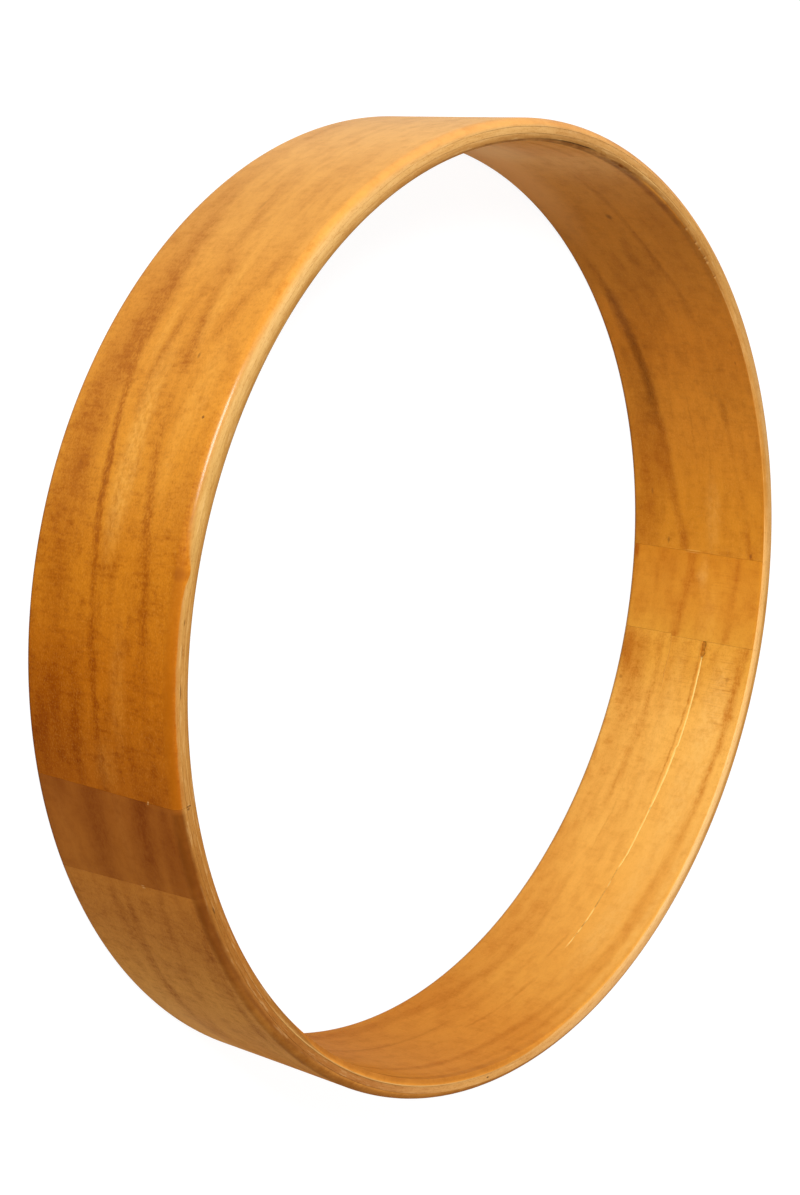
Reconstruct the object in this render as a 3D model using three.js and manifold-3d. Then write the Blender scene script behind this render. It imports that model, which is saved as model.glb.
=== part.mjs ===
// Drum shell: a shallow hoop of three bent wood plies, in millimetres.
// It stands on one bearing edge, with its axis along +Z and its origin at the centre of that edge.
// Azimuths are in degrees, counterclockwise from +X as seen from above.

import * as THREE from "three";
import { mergeVertices } from "three/addons/utils/BufferGeometryUtils.js";
import Module from "manifold-3d";

const wasm = await Module();
wasm.setup();

// Hoop, with its plies named from the outside in
const outerDiameter = 406.4;
const depth = 76.2;
const outerPly = 2.8;
const corePly = 2.8;
const innerPly = 2.8;
const glueLine = 0.3;
const facetsPerTurn = 120;

// Bearing edges. The upper one rises gently from the bore to a narrow crown on the core ply, and
// falls outside in a wide round-over. The lower one has a wider crown between two like rounds.
// Neither side of an edge takes more than its share of the wall.
const upperOuterRound = 4.5;
const upperInnerEase = 3;
const upperInnerDrop = 0.8;
const lowerRound = 3;
const outerLimitShare = 0.6;
const innerLimitShare = 0.36;
const facetsPerRound = 6;

// Seams of the outer and inner plies, each closed by a short patch
const seamGap = 0.3;
const outerSeamAzimuth = -64.2;
const outerPatchLength = 38.8;
const innerSeamAzimuth = 91.45;
const innerPatchLength = 42.7;

// The core ply's own butt joint, which stands open behind the outer patch's first seam
const coreSlit = 0.6;

// The stepped end of the inner ply: below the step a tongue reaches into a notch in the patch
const tongueLength = 1;
const tongueHeightShare = 0.373;

// The split that opens the inner ply along the grain from its stepped end: wide and chipped at its
// mouth, narrow where it dies out, and nearly closed at its root against the core ply. It runs level
// at first, falls a little with the grain, and runs level again.
const splitLength = 122;
const splitWidth = 1.1;
const splitEndWidth = 0.2;
const splitRootWidth = 0.1;
const splitMouthWidth = 2.8;
const splitMouthLength = 9;
const splitHeightShare = 0.626;
const splitFallShare = 0.054;
const splitFallStartShare = 0.2;
const splitFallEndShare = 0.85;
const splitStations = 18;

// How far a cutting tool runs past the wood that it cuts
const overrun = 2;

const outerRadius = outerDiameter / 2;
const outerPlyBack = outerRadius - outerPly;
const coreOuterRadius = outerPlyBack - glueLine;
const coreInnerRadius = coreOuterRadius - corePly;
const innerPlyBack = coreInnerRadius - glueLine;
const boreRadius = innerPlyBack - innerPly;
const wall = outerRadius - boreRadius;

const honey = { color: 0xcf8a35, roughness: 0.35, metalness: 0 };
const brown = { color: 0x9a6026, roughness: 0.4, metalness: 0 };
const pale = { color: 0xd9b06c, roughness: 0.6, metalness: 0 };
const amber = { color: 0xcc8a34, roughness: 0.35, metalness: 0 };

const point = (x, y) => new THREE.Vector2(x, y);
const degreesAlong = (length, radius) => THREE.MathUtils.radToDeg(length / radius);

// Profile of a bearing edge from the bore outwards: the radius of each point, and how far it lies
// off the crown. The side at the bore is a quarter of an ellipse, and the outside is a quarter round.
function edgeProfile(ease, drop, round) {
  const inside = Math.min(ease, wall * innerLimitShare);
  const outside = Math.min(round, wall * outerLimitShare);
  const points = [];
  for (let i = 0; i <= facetsPerRound; i += 1) {
    const angle = ((Math.PI / 2) * i) / facetsPerRound;
    const x = boreRadius + inside * (1 - Math.cos(angle));
    points.push(point(x, drop * (1 - Math.sin(angle))));
  }
  for (let i = 0; i <= facetsPerRound; i += 1) {
    const angle = ((Math.PI / 2) * i) / facetsPerRound;
    const x = outerRadius - outside * (1 - Math.sin(angle));
    points.push(point(x, outside * (1 - Math.cos(angle))));
  }
  return points;
}

const upperEdge = edgeProfile(upperInnerEase, upperInnerDrop, upperOuterRound);
const lowerEdge = edgeProfile(lowerRound, lowerRound, lowerRound);

// The part of an edge's profile that lies between two radii, with its height at each of them.
function between(profile, inner, outer) {
  const heightAt = (radius) => {
    const next = Math.max(profile.findIndex(({ x }) => x >= radius), 1);
    const [from, to] = [profile[next - 1], profile[next]];
    return THREE.MathUtils.mapLinear(radius, from.x, to.x, from.y, to.y);
  };
  const inside = profile.filter(({ x }) => x > inner && x < outer);
  return [point(inner, heightAt(inner)), ...inside, point(outer, heightAt(outer))];
}

// Section of a ply in radius and height, counterclockwise. The two edge profiles run on from each
// ply to the next.
function plySection(inner, outer) {
  const lower = between(lowerEdge, inner, outer);
  const upper = between(upperEdge, inner, outer).reverse();
  return [...lower, ...upper.map(({ x, y }) => point(x, depth - y))];
}

// Azimuths from start to end: both ends, and every facet line of the hoop between them that isn't
// too close to an end. All plies share the facet lines, so their faces stay parallel.
function stations(start, end) {
  const step = 360 / facetsPerTurn;
  const clear = step / 4;
  const inside = [];
  for (let i = Math.ceil((start + clear) / step); i * step < end - clear; i += 1) {
    inside.push(i * step);
  }
  return [start, ...inside, end];
}

// Closed solid swept round the axis through the azimuths. sectionAt gives the section at each one,
// always with the same number of points.
function sweep(azimuths, sectionAt) {
  const sections = azimuths.map(sectionAt);
  const count = sections[0].length;
  const positions = [];
  azimuths.forEach((azimuth, i) => {
    const angle = THREE.MathUtils.degToRad(azimuth);
    for (const { x, y } of sections[i]) {
      positions.push(x * Math.cos(angle), x * Math.sin(angle), y);
    }
  });
  const indices = [];
  for (let i = 0; i + 1 < azimuths.length; i += 1) {
    for (let j = 0; j < count; j += 1) {
      const a = i * count + j;
      const b = i * count + ((j + 1) % count);
      indices.push(a, b + count, b, a, a + count, b + count);
    }
  }
  const last = (azimuths.length - 1) * count;
  for (const [a, b, c] of THREE.ShapeUtils.triangulateShape(sections[0], [])) {
    indices.push(a, b, c);
  }
  for (const [a, b, c] of THREE.ShapeUtils.triangulateShape(sections.at(-1), [])) {
    indices.push(last + a, last + c, last + b);
  }
  const geometry = new THREE.BufferGeometry();
  geometry.setAttribute("position", new THREE.Float32BufferAttribute(positions, 3));
  geometry.setIndex(indices);
  return geometry;
}

function strip(start, end, section) {
  return sweep(stations(start, end), () => section);
}

function toManifold(geometry) {
  const merged = mergeVertices(geometry);
  const vertProperties = new Float32Array(merged.attributes.position.array);
  const triVerts = new Uint32Array(merged.index.array);
  return new wasm.Manifold(new wasm.Mesh({ numProp: 3, vertProperties, triVerts }));
}

function cut(geometry, ...tools) {
  let solid = toManifold(geometry);
  for (const tool of tools) solid = solid.subtract(toManifold(tool));
  const mesh = solid.getMesh();
  const result = new THREE.BufferGeometry();
  result.setAttribute("position", new THREE.BufferAttribute(mesh.vertProperties, 3));
  result.setIndex(new THREE.BufferAttribute(mesh.triVerts, 1));
  return result;
}

// Rectangular section right through the inner ply, between two heights.
function innerBlock(low, high) {
  const inner = boreRadius - overrun;
  const outer = innerPlyBack + overrun;
  return [point(inner, low), point(outer, low), point(outer, high), point(inner, high)];
}

// Tool that opens the split in an inner ply that ends at the azimuth end: a wedge in section, open
// at the bore and closing at the back of the ply, that narrows along the grain away from its mouth.
function splitTool(end) {
  const azimuths = [];
  for (let i = splitStations; i > 0; i -= 1) {
    azimuths.push(end - degreesAlong((splitLength * i) / splitStations, boreRadius));
  }
  azimuths.push(end, end + degreesAlong(overrun, boreRadius));
  return sweep(azimuths, (azimuth) => {
    const fromEnd = THREE.MathUtils.degToRad(Math.max(end - azimuth, 0)) * boreRadius;
    const share = fromEnd / splitLength;
    const mouthShare = Math.max(1 - fromEnd / splitMouthLength, 0);
    const body = THREE.MathUtils.lerp(splitWidth, splitEndWidth, share);
    const face = THREE.MathUtils.lerp(body, splitMouthWidth, mouthShare) / 2;
    const root = splitRootWidth / 2;
    const fall = THREE.MathUtils.smoothstep(share, splitFallStartShare, splitFallEndShare);
    const middle = depth * (splitHeightShare - splitFallShare * fall);
    return [
      point(boreRadius - overrun, middle - face),
      point(boreRadius, middle - face),
      point(innerPlyBack, middle - root),
      point(innerPlyBack + overrun, middle - root),
      point(innerPlyBack + overrun, middle + root),
      point(innerPlyBack, middle + root),
      point(boreRadius, middle + face),
      point(boreRadius - overrun, middle + face),
    ];
  });
}

function piece(name, geometry, finish) {
  geometry.computeVertexNormals();
  const material = new THREE.MeshStandardMaterial({ ...finish, flatShading: true });
  const mesh = new THREE.Mesh(geometry, material);
  mesh.name = name;
  return mesh;
}

// The outer ply runs counterclockwise from the patch's second seam round to its first.
function outerPieces() {
  const section = plySection(outerPlyBack, outerRadius);
  const half = degreesAlong(seamGap, outerRadius) / 2;
  const first = outerSeamAzimuth;
  const second = first + degreesAlong(outerPatchLength, outerRadius);
  return [
    piece("outer_ply", strip(second + half, first + 360 - half, section), honey),
    piece("outer_patch", strip(first + half, second - half, section), brown),
  ];
}

function corePiece() {
  const section = plySection(coreInnerRadius, coreOuterRadius);
  const half = degreesAlong(coreSlit, coreOuterRadius) / 2;
  const start = outerSeamAzimuth + half;
  return piece("core_ply", strip(start, outerSeamAzimuth + 360 - half, section), pale);
}

// The inner ply runs counterclockwise from the patch's second seam round to its own stepped end at
// the first, where its tongue lies in the patch's notch with the seam's gap all round.
function innerPieces() {
  const section = plySection(boreRadius, innerPlyBack);
  const half = degreesAlong(seamGap, boreRadius) / 2;
  const tongue = degreesAlong(tongueLength, boreRadius);
  const past = degreesAlong(overrun, boreRadius);
  const second = innerSeamAzimuth + degreesAlong(innerPatchLength, boreRadius);
  const step = depth * tongueHeightShare;

  const plyEnd = innerSeamAzimuth + 360 - half;
  const whole = strip(second + half, plyEnd + tongue, section);
  const aboveTongue = strip(plyEnd, plyEnd + tongue + past, innerBlock(step, depth + overrun));

  const patchStart = innerSeamAzimuth + half;
  const patch = strip(patchStart, second - half, section);
  const notchBlock = innerBlock(-overrun, step + seamGap);
  const notch = strip(patchStart - past, patchStart + tongue, notchBlock);

  return [
    piece("inner_ply", cut(whole, aboveTongue, splitTool(plyEnd)), honey),
    piece("inner_patch", cut(patch, notch), amber),
  ];
}

const shell = new THREE.Group();
shell.name = "drum_shell";
shell.add(...outerPieces(), corePiece(), ...innerPieces());

export default shell;
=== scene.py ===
# Looks of the drum shell: a shallow hoop of three bent wood plies, seen lying on a white floor.
# Sizes are in millimetres and azimuths in degrees, counterclockwise from +X as seen from above.

import math
import random

import bmesh
import bpy
import numpy as np
from mathutils import Matrix, Vector


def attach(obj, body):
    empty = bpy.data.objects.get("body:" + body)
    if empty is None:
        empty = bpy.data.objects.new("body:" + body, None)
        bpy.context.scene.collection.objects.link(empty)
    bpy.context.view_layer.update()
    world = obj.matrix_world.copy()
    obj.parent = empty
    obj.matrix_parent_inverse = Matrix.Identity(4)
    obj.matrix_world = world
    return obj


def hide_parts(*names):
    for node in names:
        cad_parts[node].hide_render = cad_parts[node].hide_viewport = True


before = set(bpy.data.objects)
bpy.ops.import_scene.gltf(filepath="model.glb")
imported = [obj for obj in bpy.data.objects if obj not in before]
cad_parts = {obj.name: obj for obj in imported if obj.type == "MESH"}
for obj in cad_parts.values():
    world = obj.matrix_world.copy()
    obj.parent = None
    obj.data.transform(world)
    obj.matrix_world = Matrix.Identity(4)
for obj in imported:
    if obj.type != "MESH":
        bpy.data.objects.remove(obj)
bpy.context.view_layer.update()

# Hoop
OUTSIDE = 203.2
BORE = 194.2
DEPTH = 76.2
GLUE_GAP = 0.1
SEAM_GAP = 0.08
INNER_GLUE = 197.15
CORE_MIDDLE = 198.5

# Bearing edges
UPPER_ROUND = 4.5
UPPER_EASE = 3.0
UPPER_DROP = 0.8
LOWER_ROUND = 3.0

# Ends of the plies
OUTER_FIRST_SEAM = -64.15
OUTER_SECOND_SEAM = -53.3
OUTER_SECOND_TILT = -0.0125
TILT_MIDDLE = 48.0
INNER_FIRST_SEAM = 91.45
INNER_SECOND_SEAM = 104.07
TONGUE = 0.3
TONGUE_TOP = 28.75
STEP_ROWS = [28.5, 28.6, 28.72, 28.82]
CORE_SLIT = 0.6

# How much lower the hidden back of a ply ends, and the rows of the inner one's back
BACK_CLEAR = 0.3
BACK_HEIGHTS = [7, 14, 21, 28, 28.6, 28.8, 38, 48, 58, 68]

# Degrees over which the tilted seam and the tongue bend aside, and where the tongue begins
TILT_REACH = 5
TONGUE_REACH = 1.5
TONGUE_FROM = 80

# How far the crown is sanded below true, how far the faces waver, and what counts as a sharp corner
CROWN_SINK = 0.12
INNER_SINK = 0.1
OUTER_WAVE = 0.1
BORE_WAVE = 0.08
SHARP = math.radians(38)

# Radius of the glue line behind the outer ply, which is thinner and thicker round the hoop
OUTER_GLUE = [
    (-180, 199.9), (-160, 199.8), (-130, 199.4), (-110, 199), (-95, 198.7), (-80, 198.6),
    (-64, 199.2), (-52, 199), (-30, 199.6), (0, 200.2), (60, 200.3), (120, 200.2), (180, 199.9),
]

# Middle and half width of the split in the inner ply by azimuth, from where it dies out to its mouth
SPLIT = [
    (36, 43.6), (41, 44.3), (45.7, 44.3), (48.7, 43.9), (52, 43.6), (55.7, 43.4), (58, 44.1),
    (62, 44.2), (65.8, 44.6), (69, 45.3), (72, 45.9), (75.5, 46.3), (75.9, 47), (79, 47.3),
    (82.8, 47.6), (86.5, 47.7), (89.1, 47.9), (90.2, 48.1), (91.5, 47.9),
]
SPLIT_HALF = [
    (40, 0.2), (41.5, 0.4), (43, 0.3), (44, 0.4), (45, 0.3), (47, 0.42), (49, 0.42), (55, 0.42),
    (57, 0.42), (61, 0.46), (65.6, 0.42), (66.4, 0.56), (70, 0.6), (75.5, 0.58), (76.2, 0.46),
    (82, 0.48), (87, 0.52), (88.3, 0.4), (88.9, 0.3), (89.1, 0.9), (89.4, 1.3), (89.8, 1.4),
    (90.2, 1), (90.5, 1.1), (90.9, 1.4), (91.5, 1.3),
]

# Pale torn fibre that fills the split, and the dark hairline where it closes, which is painted shade in
# the crack
SPLIT_FILL = [
    (40, 0), (41.2, 0.8), (42.6, 0.8), (43.2, 0.2), (43.9, 0.9), (44.4, 0.9), (45, 0.2), (46.2, 0.9),
    (47.8, 1), (48.6, 0.2), (52.2, 0.1), (52.6, 0.5), (53.2, 0.5), (53.6, 0.1), (55.6, 0.2),
    (56.4, 1), (66, 0.95), (67, 1), (88.6, 1), (89.1, 0.7), (89.35, 0),
]
SPLIT_HAIR = [
    (42.6, 0), (42.9, 0.5), (43.5, 0.5), (43.8, 0), (44.6, 0), (45, 0.5), (45.8, 0.5),
    (46.1, 0), (48.2, 0), (48.8, 0.5), (51.2, 0.4), (52.2, 0.1), (53.4, 0.1), (54, 0.45),
    (55.2, 0.4), (56.2, 0), (65.4, 0), (65.8, 0.6), (66.2, 0),
]

# The chipped mouth of the split is a dark outline, with darker throats across it: painted shade of its
# deep hollow over a shallow recess
MOUTH = [(88.8, 0), (89.15, 1), (89.7, 1), (89.95, 0.3), (90.2, 1), (91.5, 1)]
THROAT = [
    (88.9, 0.3), (89.25, 1), (89.5, 0.3), (89.8, 0.1), (90.15, 0.9), (90.35, 0.5), (90.6, 0.2),
    (90.9, 0.8), (91.1, 0.3), (91.5, 0.9),
]

# Chips along the arris between the bore and the upper edge: azimuth, half length, depth
CHIP_REACH = 0.7
ARRIS_CHIPS = [
    (-211.1, 0.28, 0.25), (-208.2, 0.4, 0.3), (-207.3, 0.22, 0.2), (-205.5, 0.3, 0.3),
    (-204.3, 0.4, 0.25), (-201.2, 0.36, 0.25), (-195.7, 0.3, 0.2), (-183.8, 0.8, 0.4),
    (-173.5, 3.4, 0.35), (-168.3, 1.5, 0.22),
]

# Hairline along the grain from the corner of the stepped end
HAIRLINE = [
    (80, 28.9), (83.6, 28.9), (86.1, 28.5), (88.3, 29), (90, 29.2), (91, 28.9), (91.5, 28.65),
]


def along(points, at):
    """Value at a place on a line drawn through the points."""
    return float(np.interp(at, [x for x, _ in points], [y for _, y in points]))


def smooth(low, high, value):
    share = min(max((value - low) / (high - low), 0), 1)
    return share * share * (3 - 2 * share)


def upper_drop(radius):
    """How far the upper edge lies below its crown at a radius."""
    ease_end = BORE + UPPER_EASE
    round_start = OUTSIDE - UPPER_ROUND
    if radius < ease_end:
        share = min((ease_end - radius) / UPPER_EASE, 1)
        return UPPER_DROP * (1 - math.sqrt(1 - share * share))
    if radius > round_start:
        share = min((radius - round_start) / UPPER_ROUND, 1)
        return UPPER_ROUND * (1 - math.sqrt(1 - share * share))
    return 0.0


def lower_drop(radius):
    """How far the lower edge lies above its crown at a radius."""
    side = max(BORE + LOWER_ROUND - radius, radius - OUTSIDE + LOWER_ROUND, 0)
    share = min(side / LOWER_ROUND, 1)
    return LOWER_ROUND * (1 - math.sqrt(1 - share * share))


class Wander:
    """A smooth seeded waver round the hoop, between 0 and 1."""

    def __init__(self, seed, waves):
        maker = random.Random(seed)
        self.parts = []
        for _ in range(7):
            turns = maker.randint(2, waves)
            phase = maker.uniform(0, math.tau)
            weight = maker.uniform(0.5, 1)
            lean = maker.uniform(-0.03, 0.03)
            self.parts.append((turns, phase, weight, lean))
        self.total = sum(weight for _, _, weight, _ in self.parts)

    def at(self, azimuth, height=0):
        angle = math.radians(azimuth)
        value = sum(w * math.cos(n * angle + phase + lean * height) for n, phase, w, lean in self.parts)
        return 0.5 + 0.5 * value / self.total


sanded = Wander(11, 40)
bent = Wander(23, 17)


def steps(start, stop, count):
    """Values from start to stop in a count of equal steps, with both ends."""
    return [start + (stop - start) * i / count for i in range(count + 1)]


def azimuth_list(*spans):
    """Azimuths over touching spans of (start, stop, step)."""
    places = []
    for start, stop, step in spans:
        places += steps(start, stop, max(1, math.ceil((stop - start) / step - 1e-6)))[:-1]
    return places + [spans[-1][1]]


class Row:
    """One point of a ply's section, with the marks that its wood carries there."""

    def __init__(self, radius, height, filler=0, dark=0, raw=0):
        self.radius = radius
        self.height = height
        self.marks = (filler, dark, raw)


def edge_rows(near, far, count, drop, lower):
    """Rows along a bearing edge from the radius near to far, where the edge turns into the face."""
    rows = []
    for i in range(count):
        share = math.sin(math.pi / 2 * i / count)
        radius = near + (far - near) * share
        height = drop(radius)
        rows.append(Row(radius, height if lower else DEPTH - height))
    return rows


def ply_mesh(name, azimuths, front_at, back_at, shift_at, scale_radius):
    """Closed mesh of a bent ply. front_at gives the rows of its shown side from its lower back corner
    to its upper one, back_at the rows between those corners, and shift_at turns a point further."""
    fronts = [front_at(a) for a in azimuths]
    backs = [back_at(a) for a in azimuths]
    m = len(fronts[0])
    loop = m + len(backs[0])
    places = []
    grain = []
    marks = []
    for azimuth, front, back in zip(azimuths, fronts, backs):
        for row in front + back[::-1]:
            turned = azimuth + shift_at(azimuth, row.height)
            angle = math.radians(turned)
            across = row.radius / 1000
            places.append((across * math.cos(angle), across * math.sin(angle), row.height / 1000))
            grain.append((angle * scale_radius, row.height, row.radius))
            marks.append(row.marks)
    faces = []
    for i in range(len(azimuths) - 1):
        for j in range(loop):
            k = (j + 1) % loop
            a = i * loop + j
            b = i * loop + k
            faces.append((a, b, b + loop, a + loop))
    for at, turn in ((0, False), (len(azimuths) - 1, True)):
        front = [(at * loop + j, fronts[at][j].height) for j in range(m)]
        between = [(at * loop + loop - 1 - j, row.height) for j, row in enumerate(backs[at])]
        back = [front[0]] + between + [front[-1]]
        i = j = 0
        while i < len(front) - 1 or j < len(back) - 1:
            step_front = j == len(back) - 1 or (i < len(front) - 1 and front[i + 1][1] <= back[j + 1][1])
            if step_front:
                corners = (front[i][0], back[j][0], front[i + 1][0])
                i += 1
            else:
                corners = (front[i][0], back[j][0], back[j + 1][0])
                j += 1
            if len(set(corners)) == 3:
                faces.append(corners[::-1] if turn else corners)
    mesh = bpy.data.meshes.new(name)
    mesh.from_pydata(places, [], faces)
    for title, values in (("grain", grain), ("marks", marks)):
        layer = mesh.attributes.new(title, "FLOAT_VECTOR", "POINT")
        layer.data.foreach_set("vector", np.array(values, np.float32).ravel())
    mesh.polygons.foreach_set("use_smooth", [True] * len(mesh.polygons))
    mesh.set_sharp_from_angle(angle=SHARP)
    mesh.update()
    piece = bpy.data.objects.new(name, mesh)
    bpy.context.scene.collection.objects.link(piece)
    return piece


def flip_if_inside_out(piece):
    """Turns the faces outwards."""
    work = bmesh.new()
    work.from_mesh(piece.data)
    if work.calc_volume(signed=True) < 0:
        bmesh.ops.reverse_faces(work, faces=work.faces)
        work.to_mesh(piece.data)
        piece.data.set_sharp_from_angle(angle=SHARP)
    work.free()


def no_shift(azimuth, height):
    return 0.0


def back_rows(radius, low, high, count):
    return [Row(radius, height) for height in steps(low, high, count + 1)[1:-1]]


# Outer ply and its patch
def outer_glue(azimuth):
    turned = (azimuth + 180) % 360 - 180
    return along(OUTER_GLUE, turned)


def outer_front(azimuth):
    back = outer_glue(azimuth) + GLUE_GAP / 2
    sink = CROWN_SINK * sanded.at(azimuth)
    rows = edge_rows(back, OUTSIDE, 9, lower_drop, True)
    face_steps = 21
    for i, height in enumerate(steps(LOWER_ROUND, DEPTH - UPPER_ROUND, face_steps)):
        fade = math.sin(math.pi * i / face_steps)
        rows.append(Row(OUTSIDE - OUTER_WAVE * fade * bent.at(azimuth, height), height))
    upper = edge_rows(back, OUTSIDE, 15, upper_drop, False)[::-1]
    for row in upper:
        row.height -= sink * (OUTSIDE - row.radius) / UPPER_ROUND
    return rows + upper


def outer_back(azimuth):
    radius = outer_glue(azimuth) + GLUE_GAP / 2
    return back_rows(radius, lower_drop(radius), DEPTH - upper_drop(radius) - BACK_CLEAR, 8)


def tilt(azimuth, height):
    turned = (azimuth + 180) % 360 - 180
    reach = max(1 - abs(turned - OUTER_SECOND_SEAM) / TILT_REACH, 0)
    return OUTER_SECOND_TILT * (height - TILT_MIDDLE) * reach


outer_half = math.degrees(SEAM_GAP / 2 / OUTSIDE)
first = OUTER_FIRST_SEAM + outer_half
second = OUTER_SECOND_SEAM - outer_half
ply_start = OUTER_SECOND_SEAM + outer_half
ply_end = OUTER_FIRST_SEAM + 360 - outer_half
azimuths = azimuth_list(
    (ply_start, ply_start + 5, 0.5), (ply_start + 5, ply_end - 3, 0.6), (ply_end - 3, ply_end, 0.4)
)
outer_ply = ply_mesh("outer_hoop", azimuths, outer_front, outer_back, tilt, OUTSIDE)
azimuths = azimuth_list((first, second, 0.35))
outer_patch = ply_mesh("outer_let_in_patch", azimuths, outer_front, outer_back, tilt, OUTSIDE)


# Core ply
def core_front(azimuth):
    inside = INNER_GLUE + GLUE_GAP / 2
    outside = outer_glue(azimuth) - GLUE_GAP / 2
    sink = CROWN_SINK * sanded.at(azimuth)
    rows = [Row(radius, lower_drop(radius)) for radius in steps(inside, outside, 7)]
    rows += [Row(outside, height) for height in steps(0, DEPTH, 8)[1:-1]]
    for radius in steps(outside, inside, 9):
        sunk = sink * (OUTSIDE - radius) / UPPER_ROUND * 0.8
        rows.append(Row(radius, DEPTH - upper_drop(radius) - sunk))
    return rows


def core_back(azimuth):
    return back_rows(INNER_GLUE + GLUE_GAP / 2, 0, DEPTH - BACK_CLEAR, 7)


core_half = math.degrees(CORE_SLIT / 2 / CORE_MIDDLE)
azimuths = azimuth_list((OUTER_FIRST_SEAM + core_half, OUTER_FIRST_SEAM + 360 - core_half, 0.6))
core_ply = ply_mesh("core_hoop", azimuths, core_front, core_back, no_shift, CORE_MIDDLE)


# Inner ply and its patch
inner_half = math.degrees(SEAM_GAP / 2 / BORE)
lip = Wander(5, 400)
ragged = Wander(8, 500)

# Rows across the split: share of its half width, and how far each is an edge and holds fibre
SPLIT_SECTION = [
    (-2.6, 0, 0), (-1.5, 0, 0), (-1.1, 0, 0), (-0.9, 1, 0.5), (-0.5, 0.25, 1),
    (0, 0.1, 1), (0.5, 0.25, 1), (0.9, 1, 0.5), (1.1, 0, 0), (1.5, 0, 0),
    (2.6, 0, 0),
]

# Rows across the hairline: offset, depth, how dark and how pale; the dark is painted shade in the crack
HAIR_SECTION = [
    (-0.8, 0, 0, 0), (-0.3, 0, 0, 0), (-0.1, 0, 0, 0), (0, 0.2, 0.8, 0),
    (0.1, 0, 0, 0.3), (0.35, 0, 0, 0), (0.8, 0, 0, 0),
]


def bore_radius(azimuth, height):
    share = (height - LOWER_ROUND) / (DEPTH - LOWER_ROUND - UPPER_DROP)
    fade = math.sin(math.pi * min(max(share, 0), 1))
    return BORE + BORE_WAVE * fade * bent.at(azimuth + 40, height)


def bore_rows(azimuth, heights):
    return [Row(bore_radius(azimuth, height), height) for height in heights]


def split_rows(azimuth):
    """Rows across the split: its lips, and the pale fibre, the hairline or the dark mouth between them."""
    middle = along(SPLIT, azimuth)
    half = along(SPLIT_HALF, azimuth) * (0.85 + 0.3 * ragged.at(azimuth))
    drift = 0.12 * (ragged.at(azimuth + 7) - 0.5)
    mouth = along(MOUTH, azimuth) * smooth(88.6, 89.2, azimuth)
    throat = along(THROAT, azimuth)
    fill = along(SPLIT_FILL, azimuth) * smooth(39, 42, azimuth)
    hair = along(SPLIT_HAIR, azimuth) * (0.5 + 0.5 * smooth(0.3, 0.7, lip.at(azimuth * 1.7)))
    opened = max(fill, hair, mouth)
    rows = []
    for share, edge_share, fill_share in SPLIT_SECTION:
        within = 1.0 if abs(share) < 1 else 0.0
        depth = within * opened * (0.16 + 0.2 * edge_share + mouth * (0.1 + 0.3 * throat))
        # The dark outline of the mouth is painted shade in its hollow, fuller on the upper lip
        outline = 0.95 if share > 0 else 0.6 * (0.3 + ragged.at(azimuth * 1.9))
        dark_mouth = mouth * (edge_share * outline + (1 - edge_share) * throat * 0.6)
        dark = min(within * max(dark_mouth, hair * (1 - 0.4 * edge_share)), 1)
        torn = 1 + mouth * (ragged.at(azimuth * 1.1 + (31 if share > 0 else 77)) - 0.6)
        height = middle + drift + share * half * torn
        rows.append(Row(BORE + depth, height, within * fill * fill_share, dark))
    return rows


def hair_rows(azimuth):
    """Rows across the hairline that runs from the corner of the step."""
    middle = along(HAIRLINE, azimuth) + 0.08 * (ragged.at(azimuth + 3) - 0.5)
    there = smooth(83.2, 84.2, azimuth)
    strength = there * (0.5 + 0.5 * ragged.at(azimuth * 1.3))
    rows = []
    for offset, depth, dark, pale in HAIR_SECTION:
        rows.append(Row(BORE + depth * there, middle + offset, 0, dark * strength, pale * strength))
    return rows


def inner_edges(azimuth):
    """Rows of the inner ply's lower and upper edge."""
    back = INNER_GLUE - GLUE_GAP / 2
    sink = INNER_SINK * sanded.at(azimuth)
    upper = edge_rows(back, BORE, 10, upper_drop, False)[::-1]
    for row in upper:
        row.height -= sink * min((row.radius - BORE) / UPPER_EASE, 1)
    return edge_rows(back, BORE, 8, lower_drop, True), upper


def inner_front(azimuth):
    lower, upper = inner_edges(azimuth)
    hair = hair_rows(azimuth)
    split = split_rows(azimuth)
    high = DEPTH - UPPER_DROP
    face = bore_rows(azimuth, steps(LOWER_ROUND, hair[0].height, 8)[:-1]) + hair
    face += bore_rows(azimuth, steps(hair[-1].height, split[0].height, 6)[1:-1]) + split
    face += bore_rows(azimuth, steps(split[-1].height, high - CHIP_REACH, 6)[1:] + [high])
    for row in hair + split:
        row.radius += bore_radius(azimuth, row.height) - BORE
    for place, half, depth in ARRIS_CHIPS:
        bite = 1 - smooth(0.3, 1, abs(azimuth - place) / half)
        bite *= 0.5 + 0.8 * ragged.at(azimuth * 2.3)
        # Small chips get a painted shadow on one side and pale raw wood on the other; long ones are
        # darkened all along as painted shade in their hollow
        shaded = smooth(-0.4, 0.4, (azimuth - place) / half) if half < 0.5 else 1.0
        for row in upper[:5] + face[-1:]:
            near = 1 - smooth(0.2, 1.2, row.radius - BORE)
            row.height -= depth * bite * near
            dark = max(row.marks[1], (0.8 if half < 1 else 0.4) * bite * near * shaded)
            row.marks = (0, dark, max(row.marks[2], 0.35 * bite * near * (1 - shaded)))
    return lower + face + upper


def plain_inner_front(azimuth):
    lower, upper = inner_edges(azimuth)
    heights = steps(LOWER_ROUND, STEP_ROWS[0], 9)[:-1] + STEP_ROWS
    heights += steps(STEP_ROWS[-1], DEPTH - UPPER_DROP, 16)[1:]
    return lower + bore_rows(azimuth, heights) + upper


def inner_back(azimuth):
    radius = INNER_GLUE - GLUE_GAP / 2
    return [Row(radius, height) for height in BACK_HEIGHTS]


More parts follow.
